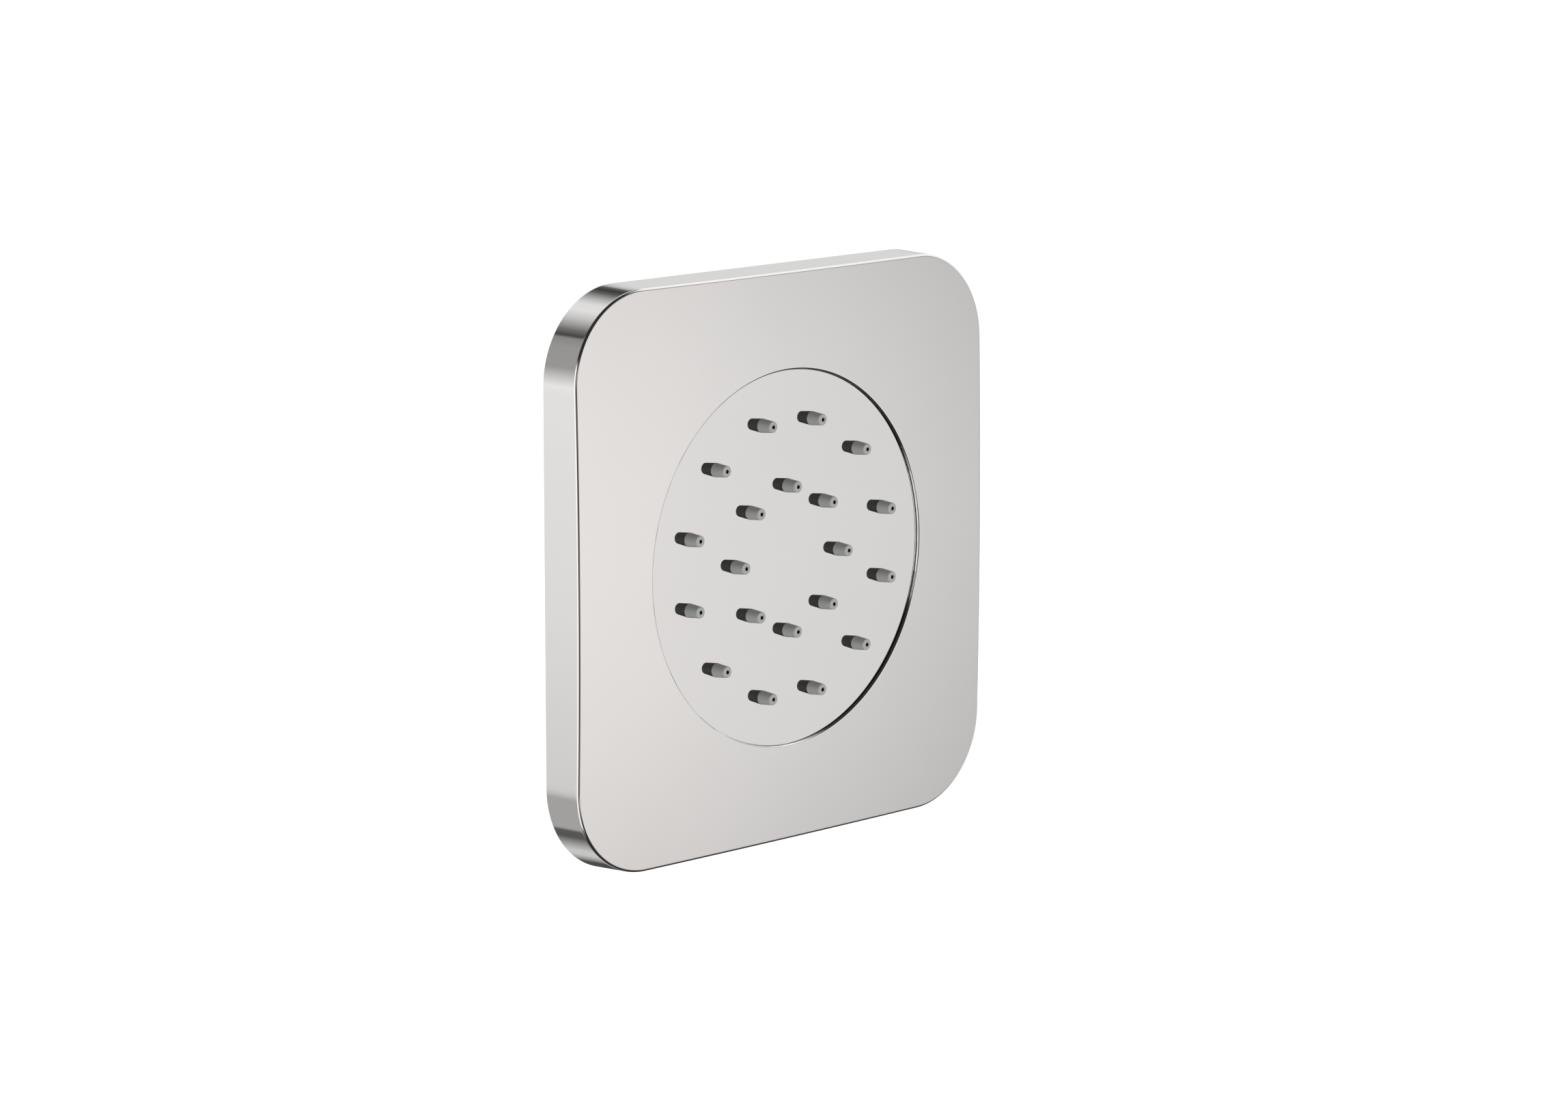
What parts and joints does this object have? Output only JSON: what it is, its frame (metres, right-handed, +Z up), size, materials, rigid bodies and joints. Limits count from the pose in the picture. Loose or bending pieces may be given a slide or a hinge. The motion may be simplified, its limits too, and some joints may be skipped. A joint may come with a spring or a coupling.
{
  "type": "shower body jet",
  "caption": "Flush shower body jet: square chromed wall plate with rounded corners and a round spray face with rubber nozzles that tilts on a ball joint.",
  "frame": {"origin": "centre of the plate on the wall plane, where the gasket meets the wall", "axes": "+Z up, +Y into the wall along the inlet, the jets leave towards -Y"},
  "size_m": [0.143, 0.0705, 0.143],
  "materials": {
    "chrome": "bright chrome plating",
    "nozzle_rubber": "grey silicone",
    "foam": "black closed-cell strip",
    "black_rubber": "black sealing rubber",
    "brass": "turned",
    "steel": "stainless",
    "housing_plastic": "moulded, grey",
    "white_plastic": "moulded, natural"
  },
  "bodies": {
    "wall_unit": {"cover_plate": "chrome", "cover_seal": "foam", "flange_gasket": "black_rubber", "connector_gasket": "black_rubber", "filter_seal": "black_rubber", "regulator_ring": "black_rubber", "stem_seal": "black_rubber", "inlet_connector": "brass", "lock_nut": "brass", "swivel_stem": "brass", "lock_washer": "steel", "filter_screen": "steel", "guide_pins": "steel", "wall_housing": "housing_plastic", "snap_bushes": "white_plastic", "flow_regulator": "white_plastic"},
    "swivel_liner": {"ball_liner": "white_plastic"},
    "spray_head": {"spray_face": "chrome", "nozzle_mat": "nozzle_rubber", "flow_disc": "white_plastic", "chamber_back": "white_plastic", "chamber_screws": "steel", "ball_seal": "black_rubber", "retainer_nut": "brass"}
  },
  "joints": [
    {"name": "tilt_up_down", "type": "hinge", "parent": "wall_unit", "child": "swivel_liner", "pos_m": [0, 0.00793, 0], "axis": [1, 0, 0], "range_deg": [-7, 7]},
    {"name": "tilt_left_right", "type": "hinge", "parent": "swivel_liner", "child": "spray_head", "pos_m": [0, 0.00793, 0], "axis": [0, 0, 1], "range_deg": [-7, 7]}
  ]
}
